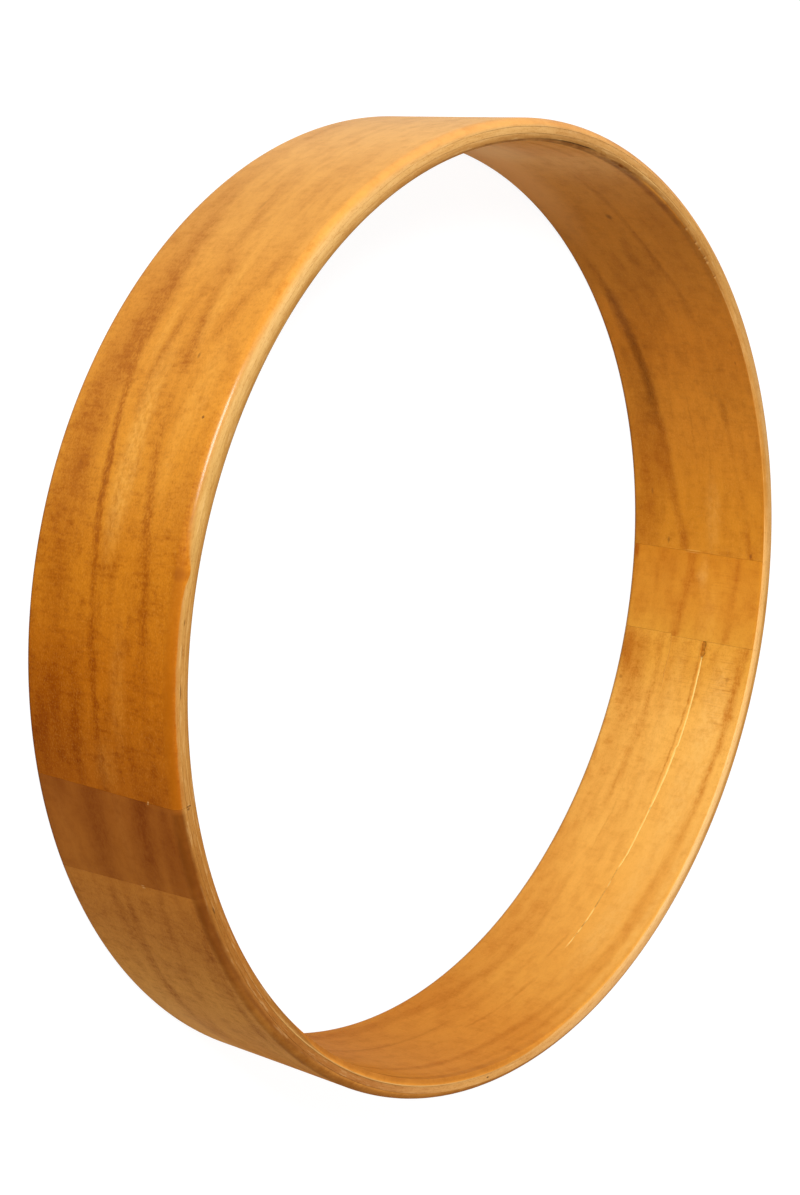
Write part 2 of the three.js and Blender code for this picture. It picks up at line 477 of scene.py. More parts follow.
def tongue_shift(azimuth, height):
    reach = max(1 - (INNER_FIRST_SEAM - inner_half - azimuth) / TONGUE_REACH, 0)
    if azimuth < TONGUE_FROM:
        return 0.0
    return TONGUE * reach if height < along(HAIRLINE, azimuth) - 0.05 else 0.0


def notch_shift(azimuth, height):
    reach = max(1 - (azimuth - INNER_FIRST_SEAM - inner_half) / TONGUE_REACH, 0)
    return TONGUE * reach if height < TONGUE_TOP else 0.0


inner_end = INNER_FIRST_SEAM - inner_half
azimuths = azimuth_list(
    (INNER_SECOND_SEAM - 360 + inner_half, -212, 0.75), (-212, -200, 0.2), (-200, -184, 0.5),
    (-184, -172, 0.3), (-172, 38, 0.75), (38, 57, 0.18), (57, 82, 0.2), (82, inner_end, 0.1),
)
inner_ply = ply_mesh("inner_hoop", azimuths, inner_front, inner_back, tongue_shift, BORE)
azimuths = azimuth_list((INNER_FIRST_SEAM + inner_half, INNER_SECOND_SEAM - inner_half, 0.35))
inner_patch = ply_mesh("inner_let_in_patch", azimuths, plain_inner_front, inner_back, notch_shift, BORE)

for piece in (outer_ply, outer_patch, core_ply, inner_ply, inner_patch):
    flip_if_inside_out(piece)


def tone(red, green, blue):
    """A colour given in display values from 0 to 255, as the shaders want it."""
    values = []
    for value in (red, green, blue):
        share = value / 255
        values.append(share / 12.92 if share <= 0.04045 else ((share + 0.055) / 1.055) ** 2.4)
    return (*values, 1)


class Nodes:
    """Adds shader nodes to a tree. An input takes a plain value or the output of another node."""

    def __init__(self, tree):
        self.tree = tree
        tree.nodes.clear()

    def add(self, kind, inputs, **settings):
        node = self.tree.nodes.new(kind)
        for key, value in settings.items():
            setattr(node, key, value)
        for title, value in inputs.items():
            if isinstance(value, bpy.types.NodeSocket):
                self.tree.links.new(value, node.inputs[title])
            else:
                node.inputs[title].default_value = value
        return node

    def math(self, operation, *values, clamp=False):
        inputs = dict(enumerate(values))
        return self.add("ShaderNodeMath", inputs, operation=operation, use_clamp=clamp).outputs[0]

    def times(self, a, *others):
        for b in others:
            a = self.math("MULTIPLY", a, b)
        return a

    def plus(self, a, *others):
        for b in others:
            a = self.math("ADD", a, b)
        return a

    def minus(self, a, b):
        return self.math("SUBTRACT", a, b)

    def most(self, a, b):
        return self.math("MAXIMUM", a, b)


class Wood(Nodes):
    """Nodes of one wood material. The attribute grain gives the place on the unrolled ply in
    millimetres: along the grain, up the hoop, and the radius."""

    def __init__(self, name, scale_radius):
        self.material = bpy.data.materials.new(name)
        self.material.use_nodes = True
        super().__init__(self.material.node_tree)
        self.arc, self.height, self.radius = self.attribute("grain")
        self.filler, self.dark, self.raw = self.attribute("marks")
        turned = self.times(self.arc, 180 / math.pi / scale_radius)
        self.azimuth = self.math("WRAP", turned, 180, -180)

    def attribute(self, title):
        source = self.add("ShaderNodeAttribute", {}, attribute_name=title)
        return self.add("ShaderNodeSeparateXYZ", {0: source.outputs["Vector"]}).outputs

    def ease(self, value, low, high):
        """0 at low and 1 at high, with a smooth rise between them. High may lie below low."""
        inputs = {"Value": value, "From Min": low, "From Max": high}
        node = self.add("ShaderNodeMapRange", inputs, interpolation_type="SMOOTHSTEP", clamp=True)
        return node.outputs["Result"]

    def rise(self, value, low, high, top):
        """0 at low and top at high."""
        return self.times(self.ease(value, low, high), top)

    def sway(self, noise, width):
        return self.times(self.minus(noise, 0.5), width)

    def near_top(self):
        return self.ease(self.height, TOP_FROM, TOP_FULL)

    def curve(self, points):
        """Reads a smooth line through the points at the azimuth."""
        node = self.add("ShaderNodeFloatCurve", {"Value": self.azimuth})
        mapping = node.mapping
        mapping.use_clip = False
        mapping.extend = "HORIZONTAL"
        line = mapping.curves[0]
        while len(line.points) < len(points):
            line.points.new(0.5, 0.5)
        for place, (x, y) in zip(line.points, sorted(points)):
            place.location = (x, y)
            place.handle_type = "AUTO_CLAMPED"
        mapping.update()
        return node.outputs[0]

    def ramp(self, stops):
        """A colour that goes through the stops of (azimuth, colour) round the hoop."""
        share = self.math("MULTIPLY_ADD", self.azimuth, 1 / 360, 0.5)
        node = self.add("ShaderNodeValToRGB", {0: share})
        colours = node.color_ramp
        colours.interpolation = "EASE"
        while len(colours.elements) < len(stops):
            colours.elements.new(0.5)
        for element, (azimuth, colour) in zip(colours.elements, stops):
            element.position = (azimuth + 180) / 360
            element.color = tone(*colour)
        return node.outputs[0]

    def noise(self, along_mm, up_mm, detail=2, offset=0, roughness=0.5, height=None):
        """Noise whose features are so many millimetres long along the grain and across it."""
        x = self.times(self.arc, 1 / along_mm)
        y = self.times(height or self.height, 1 / up_mm)
        z = self.math("MULTIPLY_ADD", self.radius, 1 / up_mm, offset)
        place = self.add("ShaderNodeCombineXYZ", {0: x, 1: y, 2: z}).outputs[0]
        inputs = {"Vector": place, "Scale": 1, "Detail": detail, "Roughness": roughness}
        return self.add("ShaderNodeTexNoise", inputs, noise_dimensions="3D").outputs[0]

    def mix(self, share, a, b, blend="MIX"):
        inputs = {0: share, 6: a, 7: b}
        return self.add("ShaderNodeMix", inputs, data_type="RGBA", blend_type=blend).outputs[2]

    def multiply(self, share, a, b):
        return self.mix(share, a, b, "MULTIPLY")

    def streak(self, path, over, under, strength):
        """A soft band of darker wood along a path of (azimuth, height), which reaches so far over and
        under its middle."""
        off = self.minus(self.plus(self.height, self.wobble), self.curve(path))
        return self.times(self.ease(off, over, 0), self.ease(off, -under, 0), self.curve(strength))

    def oval(self, azimuth, half_azimuth, off_middle, half_across, full):
        """A soft oval, 1 within the full share of it. off_middle is the distance across its middle."""
        off = self.math("WRAP", self.minus(self.azimuth, azimuth), 180, -180)
        x = self.times(off, 1 / half_azimuth)
        y = self.times(off_middle, 1 / half_across)
        reach = self.math("SQRT", self.plus(self.times(x, x), self.times(y, y)))
        return self.ease(reach, 1, full)

    def blob(self, azimuth, height, half_azimuth, half_height, amount):
        off_middle = self.minus(self.height, height)
        return self.times(self.oval(azimuth, half_azimuth, off_middle, half_height, 0.2), amount)

    def bare(self):
        """Sanded wood of the bearing edges: fine lines, pores and soft smears along the grain."""
        fine = self.noise(12, 0.4, 3, 2.9, 0.65)
        smear = self.noise(9, 1.3, 3, 7.7, 0.6)
        pores = self.noise(1.4, 0.5, 2, 4.8)
        across = self.ease(self.radius, self.curve(BLEND_START), CORE_MIDDLE)
        colour = self.mix(across, self.ramp(INNER_BARE), self.ramp(BARE))
        brown = self.plus(
            self.rise(fine, 0.4, 0.75, 0.3),
            self.rise(smear, 0.48, 0.72, 0.42),
            self.rise(pores, 0.5, 0.72, 0.45),
        )
        colour = self.multiply(self.math("MINIMUM", brown, 1), colour, BARE_TINT)
        return self.mix(self.rise(smear, 0.46, 0.28, 0.2), colour, BARE_PALE)

    def finish(self, colour, rough, coat, coat_rough, relief, strength, distance, bumped):
        """Joins the looks in one shader, with the relief on those of its inputs that bumped names."""
        inputs = {"Height": relief, "Strength": strength, "Distance": distance}
        bump = self.add("ShaderNodeBump", inputs).outputs[0]
        inputs = {"Base Color": colour, "Roughness": rough, "Specular IOR Level": 0.0}
        inputs.update({"Coat Weight": coat, "Coat Roughness": coat_rough})
        inputs.update(dict.fromkeys(bumped, bump))
        shader = self.add("ShaderNodeBsdfPrincipled", inputs)
        self.add("ShaderNodeOutputMaterial", {"Surface": shader.outputs[0]})
        return self.material


def veneer(name, scale_radius, edge, drift, tint, figure, streaks, zones, glow, spots, gloss):
    """A varnished veneer with its sanded edge. By azimuth, drift is its base colour (on the main veneers
    its paler stops hold a painted sheen), tint is what its darker wood multiplies that with, figure how
    strong its fine flecks are, and gloss its coat."""
    wood = Wood(name, scale_radius)
    noise, ease, rise, mix = wood.noise, wood.ease, wood.rise, wood.mix
    plus, minus, times, curve, blob = wood.plus, wood.minus, wood.times, wood.curve, wood.blob
    wide = wood.sway(noise(18, 9, 2, 3.1), 2.4)
    wood.wobble = plus(wide, wood.sway(noise(5, 4, 2, 7.4), 2))
    bowed = plus(wood.height, times(wood.wobble, 2.5))
    fibre = noise(20, 0.7, 3, 1.7, 0.6, bowed)
    band = noise(60, 5, 2, 5.3, 0.5, bowed)
    mottle = noise(9, 6, 3, 8.9, 0.6)
    broad = noise(45, 17, 1, 2.2)
    bars = noise(1.9, 8, 3, 4.2, 0.6)
    speckle = noise(1.5, 0.8, 2, 6.6, 0.6)
    flecks = noise(2.6, 2, 3, 2.4, 0.6)
    grit = noise(0.8, 0.6, 1, 5.7)
    lively = curve(figure)

    lines = plus(*[wood.streak(*one) for one in streaks])
    broken = plus(times(ease(speckle, 0.36, 0.66), lively, 0.7), 0.66)
    blotchy = wood.math("MULTIPLY_ADD", ease(mottle, 0.35, 0.6), 0.2, 0.1)
    fine = plus(
        rise(bars, 0.42, 0.68, blotchy),
        rise(flecks, 0.45, 0.72, 0.15),
        rise(grit, 0.5, 0.72, 0.22),
    )
    shade = plus(
        times(lines, broken),
        plus(*[blob(*place) for place in zones]),
        rise(band, 0.46, 0.72, 0.12),
        rise(mottle, 0.42, 0.7, 0.2),
        rise(broad, 0.45, 0.7, 0.12),
        rise(fibre, 0.45, 0.75, 0.07),
        times(fine, lively),
    )
    colour = wood.ramp(drift)
    dark_wood = wood.ramp(tint)
    colour = wood.multiply(wood.math("MINIMUM", shade, 1), colour, dark_wood)
    more = wood.math("SUBTRACT", shade, 1, clamp=True)
    colour = wood.multiply(more, colour, dark_wood)
    scratch = ease(noise(0.45, 14, 1, 3.3), 0.56, 0.68)
    for place in edge["scratched"]:
        colour = wood.multiply(times(blob(*place), scratch), colour, SCRATCH_TINT)

    # Lighter golden ovals mixed towards the gold colour; on the outer veneer some are a painted sheen and
    # a painted pale reflection
    gold_and_sheen = plus(*[blob(*place) for place in glow])
    flicker = wood.math("MULTIPLY_ADD", ease(flecks, 0.64, 0.34), 0.65, 0.42)
    lift = times(gold_and_sheen, flicker, wood.math("MULTIPLY_ADD", speckle, -0.5, 1.15))
    lift = plus(lift, times(ease(grit, 0.45, 0.25), lively, 0.1))
    colour = mix(lift, colour, tone(*edge["gold"]))

    for *place, spot in spots:
        colour = mix(blob(*place), colour, tone(*spot))

    wander = wood.sway(noise(5, 3, 3, 9.4), edge["waver"])
    limit = plus(curve(edge["limit"]), wander)
    soft = curve(edge["soft"])
    if edge["outer"]:
        sand = ease(wood.radius, plus(limit, soft), minus(limit, soft))
        sand = times(sand, wood.near_top())
    else:
        sand = ease(wood.radius, minus(limit, soft), plus(limit, soft))
        sand = times(sand, ease(wood.height, DEPTH - 1.1, DEPTH - 0.6))
    sand = wood.most(sand, ease(wood.height, 1.5, 0.6))
    colour = mix(sand, colour, wood.bare())

    # Coloured lines along the edge; the dark ones on the outer round-over are partly painted shade
    for line_radius, line_half, strength, line_colour in edge["lines"]:
        off = wood.math("ABSOLUTE", minus(plus(wood.radius, wander), line_radius))
        there = times(
            ease(off, line_half, line_half * 0.2),
            curve(strength),
            ease(wood.height, DEPTH - 5.2, DEPTH - 3),
            wood.math("MULTIPLY_ADD", ease(mottle, 0.3, 0.6), 0.2, 0.8),
        )
        colour = mix(there, colour, tone(*line_colour))

    splinter = noise(6, 0.2, 2, 1.1)
    fill = mix(ease(splinter, 0.4, 0.8), FIBRE_PALE, FIBRE_DEEP)
    colour = mix(wood.filler, colour, fill)
    # Dark marks of the split, the hairlines and the chips: painted shade in these hollows
    hollow_shade = mix(ease(splinter, 0.45, 0.7), HOLLOW_SHADE_DEEP, HOLLOW_SHADE)
    colour = mix(wood.dark, colour, hollow_shade)
    colour = mix(wood.raw, colour, CHIP_PALE)

    rough = wood.math("MULTIPLY_ADD", ease(mottle, 0.3, 0.8), 0.12, 0.45)
    rough = plus(rough, times(sand, 0.15))
    coat = curve(gloss)
    if edge["outer"]:
        rolled = times(ease(wood.radius, OUTSIDE - 0.05, OUTSIDE - 0.3), wood.near_top())
        bright = times(ease(wood.azimuth, -135, -118), ease(wood.azimuth, -80, -92))
        coat = plus(coat, times(rolled, bright, 0.1))
    coat = times(coat, minus(1, wood.most(wood.filler, wood.dark)))
    relief = plus(times(fibre, 0.3), times(bars, 0.15), times(grit, 0.15))
    relief = plus(relief, times(noise(9, 7, 1, 6.1), 1.4))
    return wood.finish(colour, rough, coat, 0.2, relief, 0.35, 0.00012, ["Normal", "Coat Normal"])


# Heights between which what belongs to the upper edge comes in
TOP_FROM = 60.0
TOP_FULL = 62.0

# Single colours of the woods
BARE_TINT = tone(222, 204, 180)
BARE_PALE = tone(244, 204, 140)
SCRATCH_TINT = tone(216, 184, 140)
FIBRE_PALE = tone(255, 230, 142)
FIBRE_DEEP = tone(244, 196, 92)
# Colours of the painted shade in cracks and chips
HOLLOW_SHADE_DEEP = tone(102, 48, 3)
HOLLOW_SHADE = tone(138, 72, 10)
CHIP_PALE = tone(238, 190, 122)
STAIN = tone(98, 60, 26)
AMBER = tone(206, 136, 56)

# Sanded wood of the edges by azimuth: the outer side of the crown, and the side at the bore
BARE = [
    (-180, (204, 151, 86)), (-174, (197, 144, 82)), (-165, (214, 166, 101)), (-150, (213, 163, 96)),
    (-118, (216, 171, 104)), (-95, (204, 158, 87)), (-75, (190, 137, 70)), (-52, (162, 105, 44)),
    (-32, (164, 104, 45)), (-14, (178, 115, 57)), (-4, (204, 144, 80)), (8, (221, 162, 90)),
    (42, (233, 177, 109)), (62, (213, 155, 84)), (78, (205, 144, 67)), (95, (206, 147, 71)),
    (107, (219, 165, 95)), (125, (216, 164, 97)), (150, (206, 152, 82)), (179, (205, 152, 87)),
]
BLEND_START = [(-180, 195.4), (40, 195.4), (62, 196.5), (96, 196.5), (108, 195.4), (180, 195.4)]
INNER_BARE = [
    (-180, (160, 112, 55)), (-150, (178, 126, 65)), (-115, (179, 130, 65)), (-75, (184, 130, 63)),
    (-45, (172, 110, 45)), (-25, (168, 115, 52)), (0, (191, 143, 80)), (30, (243, 183, 106)),
    (55, (255, 206, 136)), (85, (254, 198, 121)), (104, (240, 182, 104)), (115, (210, 143, 60)),
    (140, (210, 152, 80)), (155, (178, 123, 58)), (172, (160, 112, 55)), (179, (160, 112, 56)),
]

# Sanded edge of a ply. limit is the radius by azimuth at which its varnish ends, and soft how softly.
# Each line along it has a radius, half a width, a strength by azimuth and a colour.
OUTER_EDGE = {
    "outer": True,
    "gold": (240, 176, 80),
    "waver": 0.7,
    "scratched": [],
    "limit": [
        (-180, 200.4), (-165, 200.6), (-150, 200.9), (-142, 201.2), (-136, 201.3), (-128, 201.6),
        (-118, 201.2), (-108, 201.6), (-100, 201.6), (-95, 201.7), (-91.5, 200.9), (-89.6, 199.7),
        (-88.6, 198.5), (-87.6, 198.5), (-87, 200.4), (-78, 200.5), (-65.2, 200.6), (-63.8, 201.3),
        (-60, 201), (-56, 200.8), (-53, 200.8), (-50, 201.2), (-40, 201.4), (-30, 201.2),
        (-20, 200), (-10, 199.6), (150, 199.6), (180, 200.4),
    ],
    "soft": [
        (-180, 0.9), (-145, 0.9), (-138, 1), (-118, 1.3), (-98, 1.5), (-92, 1.2), (-89, 0.5),
        (-86, 0.3), (-64, 0.35), (-55, 0.5), (-45, 0.6), (-20, 0.5), (150, 0.5), (180, 0.9),
    ],
    "lines": [
        # These first three lines darken the outer round-over: partly darker varnish at the edge, partly
        # painted shade on the round
        (202, 2.6,
         [(-120, 0), (-112, 0.12), (-100, 0.15), (-88, 0.2), (-66, 0.1), (-64.3, 0.1), (-64, 0.9),
          (-63.4, 1), (-52, 1), (-45, 0.9), (-38, 0.7), (-32, 0.7), (-26, 0.65), (-15, 0.6),
          (-5, 0.4), (10, 0.5), (30, 0.4), (60, 0.2), (90, 0.1)], (104, 54, 15)),
        (202.2, 1.7, [(-91, 0), (-86, 0.7), (-66, 0.8), (-64.3, 0.8), (-64, 0)], (150, 81, 8)),
        (200.6, 1.6, [(-91, 0), (-86, 0.3), (-79, 0.3), (-66, 0.3), (-64, 0)], (160, 88, 24)),
        (202.2, 2.4, [(-180, 0.35), (-150, 0.4), (-140, 0.25), (-130, 0), (150, 0), (180, 0.35)],
         (206, 132, 72)),
    ],
}

INNER_EDGE = {
    "outer": False,
    "gold": (255, 200, 108),
    "waver": 0.4,
    "scratched": [(84, 61, 9, 13, 0.6), (87, 40, 6, 10, 0.35), (100, 56, 8, 14, 0.25)],
    "limit": [
        (-180, 194.8), (-150, 194.6), (-140, 194), (-60, 194), (-32, 194.2), (-26, 195.9),
        (-20, 196.7), (12, 196.7), (20, 196), (28, 194.9), (55, 194.5), (70, 194), (150, 194),
        (165, 194.7), (180, 194.9),
    ],
    "soft": [(-180, 0.3), (-30, 0.3), (0, 0.3), (40, 0.4), (180, 0.3)],
    "lines": [
        (194.6, 0.75,
         [(-180, 0.8), (-165, 0.85), (-150, 0.55), (-140, 0.15), (-60, 0.1), (60, 0), (140, 0.1),
          (156, 0.35), (168, 0.3), (174, 0.95), (180, 0.85)], (104, 62, 24)),
        (195.2, 0.32, [(-178.5, 0), (-176, 1), (-171, 0.9), (-168.5, 0.6), (-163, 0)],
         (52, 28, 10)),
        (195, 1.7, [(-34, 0), (-26, 0.65), (-16, 0.5), (8, 0.4), (16, 0.2), (24, 0)],
         (150, 84, 26)),
        (196.85, 0.4,
         [(-100, 0), (-85, 0.2), (-70, 0.25), (-58, 0.1), (-40, 0.05), (-28, 0.5), (-14, 0.5),
          (-5, 0.6), (4, 0.4), (14, 0), (55, 0.15), (66, 0.65), (88, 0.6), (98, 0.3), (108, 0),
          (152, 0.1), (165, 0.45), (175, 0.45), (179, 0.1)], (236, 184, 110)),
    ],
}

# Wood of a ply. A streak has a path of (azimuth, height), its reach over and under that, and a strength
# by azimuth. A zone or glow is an oval of (azimuth, height, half azimuth, half height, strength).
# Base colour by azimuth; the pale stops from -180 to -155 also hold a painted sheen of the varnish
OUTER_TONE_AND_SHEEN = [
    (-180, (246, 182, 100)), (-155, (254, 191, 105)), (-130, (229, 162, 74)), (-114, (222, 149, 54)),
    (-98, (221, 145, 43)), (-88, (208, 128, 28)), (-76, (192, 109, 16)), (-64, (177, 97, 17)),
    (-50, (189, 119, 46)), (-35, (213, 144, 62)), (-18, (213, 141, 63)), (60, (222, 152, 66)),
    (130, (228, 158, 74)), (179, (246, 182, 100)),
]
OUTER_TINT = [
    (-180, (206, 182, 150)), (-118, (204, 180, 144)), (-60, (200, 176, 140)), (179, (206, 182, 150)),
]
OUTER_FIGURE = [
    (-180, 0.4), (-150, 0.4), (-125, 0.6), (-112, 1), (-80, 1.2), (-66, 1.1), (-63, 0.6), (-53, 0.6),
    (-50, 1.1), (-30, 1), (-10, 0.8), (90, 0.7), (180, 0.4),
]
OUTER_STREAKS = [
    ([(-127, 67), (-120, 62.5), (-116, 59), (-113, 57)], 5, 5,
     [(-130, 0), (-121, 0.25), (-116, 0.4), (-113, 0.3), (-111.5, 0)]),
    ([(-116, 46.5), (-112, 48.6), (-108, 49)], 4.5, 4.5,
     [(-118, 0), (-113, 0.3), (-110, 0.45), (-107, 0)]),
    ([(-110, 49.5), (-104, 49.4), (-98, 52), (-92.4, 56), (-88, 59), (-83.4, 61), (-76.6, 62.6),
      (-70, 65)], 3.6, 4.2,
     [(-109, 0), (-105, 0.28), (-98, 0.42), (-92, 0.52), (-84, 0.48), (-78, 0.3), (-66, 0.1), (-64, 0)]),
    ([(-150, 30), (-140, 31), (-130.7, 36), (-123.4, 41), (-115.5, 46), (-110, 48)], 5, 5,
     [(-156, 0.1), (-140, 0.15), (-131, 0.25), (-124, 0.3), (-116, 0.25), (-111, 0.2), (-109, 0)]),
    ([(-114, 36), (-108, 34), (-103, 34)], 2.4, 3, [(-117, 0), (-113, 0.35), (-107, 0.35), (-102, 0)]),
    ([(-156, 7), (-149, 9), (-135, 14), (-127, 18), (-121, 20.5), (-115.5, 22), (-110, 22), (-106, 23)],
     5, 10,
     [(-158, 0.1), (-145, 0.2), (-132, 0.35), (-122, 0.55), (-114, 0.6), (-109, 0.35), (-104, 0)]),
    ([(-112, 21.8), (-106.5, 25), (-101, 27.8), (-98, 29), (-93.5, 31), (-89.6, 32.4), (-84.5, 34.2),
      (-80, 35.4), (-75.5, 36.8), (-66, 40)], 2.2, 3.4,
     [(-113, 0), (-108, 0.35), (-103, 0.8), (-99, 0.9), (-94, 0.72), (-88, 0.46), (-82, 0.42),
      (-76, 0.35), (-66, 0.1), (-64, 0)]),
    ([(-82, 28), (-72, 27), (-64, 27)], 5, 5,
     [(-84, 0), (-77, 0.25), (-72, 0.45), (-66, 0.35), (-63, 0.2)]),
    ([(-53.3, 73), (-46.8, 70), (-40, 68.6), (-32.7, 66), (-20, 63.5)], 3, 3.6,
     [(-54, 0), (-52, 0.3), (-40, 0.35), (-30, 0.35), (-22, 0.2), (-15, 0)]),
    ([(-53.3, 54.6), (-48.5, 52), (-43, 49), (-38, 45)], 3, 3.6,
     [(-54, 0.1), (-52, 0.25), (-42, 0.2), (-34, 0)]),
    ([(-53.3, 37.4), (-49.6, 34), (-44, 31.4), (-38, 29), (-32, 26), (-24, 23)], 3, 4,
     [(-54, 0.2), (-50, 0.28), (-40, 0.33), (-26, 0.28), (-10, 0.3), (0, 0)]),
    ([(-10, 62), (30, 52), (65, 47), (100, 38), (140, 34), (175, 26)], 3, 4.5,
     [(-16, 0), (5, 0.3), (40, 0.5), (70, 0.35), (100, 0.6), (130, 0.35), (160, 0.3), (178, 0)]),
    ([(5, 18), (40, 12), (75, 16), (105, 20), (150, 11)], 3, 5,
     [(0, 0), (25, 0.4), (50, 0.2), (80, 0.5), (115, 0.3), (150, 0.4), (170, 0)]),
    ([(35, 66), (70, 68), (110, 62), (150, 66)], 2.4, 3.6,
     [(30, 0), (55, 0.35), (80, 0.25), (110, 0.45), (140, 0.3), (160, 0)]),
]
OUTER_ZONES = [
    (-106, 14, 17, 13, 0.42), (-92, 15, 14, 18, 0.34), (-71, 12, 13, 22, 0.5), (-128, 8, 20, 12, 0.2),
    (-84, 14, 5, 10, 0.22), (-150, 14, 9, 12, 0.12), (-120, 14, 4, 8, 0.12), (-96, 67, 6, 6, 0.14),
    (-39, 66, 5, 6, 0.14), (-96, 72, 12, 7, 0.25), (-88, 63, 9, 5, 0.12), (-46, 66, 10, 9, 0.15),
    (-39, 19, 3, 4, 0.2), (-50, 42, 2.2, 6, 0.15), (-70, 8, 5, 5, 0.25), (-86, 43, 4, 3.5, 0.25),
    (-64, 64, 5, 12, 0.2), (25, 34, 22, 20, 0.15), (90, 54, 24, 14, 0.2), (140, 20, 24, 14, 0.15),
]
# The ovals at -97 and -106 near mid height are a painted sheen of the figure, and the one at -24 low down
# a painted pale reflection
OUTER_GOLD_AND_SHEEN = [
    (-97, 39, 11, 8, 0.55), (-106, 38, 9, 7, 0.35), (-107, 62, 8, 8, 0.25), (-118, 50, 9, 5, 0.35),
    (-101, 58, 8, 5, 0.2), (-76, 49, 9, 6, 0.12), (-113, 31, 6, 2.5, 0.3), (-24, 12, 18, 18, 0.3),
    (-67, 41, 4, 8, 0.1), (-26, 64, 6, 8, 0.2), (-26, 40, 5, 9, 0.15),
]
# The pale spots on the seams at -64.25 and -53.1 are glue with a painted highlight; the broad pale spot at
# -12 is a painted pale reflection of the varnish
OUTER_SPOTS = [
    (-104.03, 67.2, 0.26, 0.8, 0.9, (110, 62, 22)), (-110.6, 53, 0.5, 0.9, 0.6, (140, 84, 30)),
    (-64.25, 60.7, 0.16, 0.6, 0.6, (232, 180, 114)), (-53.1, 46.4, 0.14, 1.2, 0.45, (232, 180, 114)),
    (-131.5, 34, 1.2, 1, 0.3, (160, 102, 42)), (-147.8, 75.6, 0.5, 0.6, 0.4, (160, 104, 54)),
    (-12, 16, 26, 24, 0.4, (238, 174, 102)), (-88.2, 74.4, 1.1, 2.6, 0.7, (152, 84, 20)),
]
OUTER_GLOSS = [
    (-180, 0.22), (-155, 0.22), (-140, 0.25), (-120, 0.22), (-98, 0.18), (-86, 0.05), (-60, 0.04),
    (-45, 0.05), (-30, 0.05), (-20, 0.025), (90, 0.1), (180, 0.22),
]

# Base colour by azimuth; the pale stops at 179 and -180 also hold a painted pale reflection of the varnish
INNER_TONE_AND_SHEEN = [
    (-180, (232, 165, 86)), (-90, (229, 154, 72)), (0, (228, 148, 57)), (20, (232, 153, 59)),
    (35, (241, 169, 71)), (50, (250, 182, 83)), (65, (254, 190, 91)), (78, (254, 191, 91)),
    (90, (238, 170, 64)), (108, (212, 137, 36)), (125, (204, 129, 39)), (135, (197, 121, 36)),
    (150, (195, 123, 41)), (160, (201, 128, 43)), (168, (210, 139, 54)), (179, (233, 169, 90)),
]
INNER_TINT = [
    (-180, (208, 184, 150)), (0, (210, 184, 146)), (40, (214, 186, 148)), (95, (212, 182, 142)),
    (115, (206, 184, 150)), (130, (194, 184, 172)), (152, (198, 186, 170)), (179, (208, 184, 150)),
]
INNER_FIGURE = [
    (-180, 0.4), (0, 0.4), (60, 0.45), (76, 0.8), (91, 0.9), (104, 0.7), (125, 0.6), (180, 0.5),
]
INNER_STREAKS = [
    ([(15, 60), (21, 60), (27, 61.4), (33, 62.6), (38.6, 64.6), (43, 66), (54, 65.4), (61, 66.2),
      (67, 67), (78.6, 69.8), (84.5, 70), (91.5, 72)], 3, 3.4,
     [(14, 0.45), (30, 0.4), (38, 0.3), (44, 0.42), (56, 0.42), (66, 0.4), (84, 0.45), (91.4, 0.4),
      (92, 0)]),
    ([(15, 11), (22.7, 15.4), (29.8, 18), (35.7, 20.6), (42, 21.6), (52, 19)], 4.5, 7,
     [(14, 0.4), (25, 0.42), (36, 0.4), (46, 0.25), (54, 0)]),
    ([(64, 19.4), (70, 21), (75.7, 22.8), (81.6, 23.4), (91.5, 24)], 3.2, 4,
     [(60, 0), (66, 0.3), (78, 0.4), (85, 0.35), (91.4, 0.4), (92, 0)]),
    ([(57, 24.2), (66, 25.2)], 1, 1, [(56, 0), (60, 0.35), (65, 0.2), (67, 0)]),
    ([(15, 31.4), (19, 31.6)], 1.4, 1.4, [(14, 0.3), (18, 0.25), (20, 0)]),
    ([(18, 41.3), (24, 42), (29, 43), (34, 43.5)], 1.4, 1.4,
     [(18, 0), (21, 0.45), (26, 0.2), (31, 0.45), (35, 0)]),
    ([(36, 40), (40, 40), (44, 40.8)], 1.4, 1.4, [(36, 0), (40, 0.4), (45, 0)]),
    ([(66, 43.5), (70, 43.2), (76, 44.2), (82, 45.9), (89, 46.1)], 0.9, 0.9,
     [(66, 0), (70, 0.5), (76, 0.6), (84, 0.5), (90, 0.1)]),
    ([(104, 68.6), (107.5, 66.6), (111.6, 64.6), (117, 61), (126, 57.4), (131.8, 54.6), (143.6, 53.2),
      (147.8, 50.4), (151.3, 47.8), (156.6, 45.6), (165, 44.5), (174, 43)], 2.2, 3,
     [(103.9, 0), (104.2, 0.5), (107, 0.4), (112, 0.2), (126, 0.25), (134, 0.15), (145, 0.3),
      (150, 0.45), (160, 0.4), (170, 0.25), (178, 0)]),
    ([(104, 31.4), (107, 30), (110.4, 25.8), (114.5, 23.4), (119.3, 22), (126, 18.6), (131.8, 16.8),
      (137.7, 14.4), (143.6, 11.4), (149.5, 9.4), (158, 7)], 4.2, 4.6,
     [(103.9, 0), (104.3, 0.7), (108, 0.55), (115, 0.5), (122, 0.6), (128, 0.95), (142, 1),
      (148, 0.5), (155, 0.2), (163, 0)]),
    ([(117, 38.6), (128, 38)], 1, 1, [(116, 0), (122, 0.25), (130, 0)]),
]
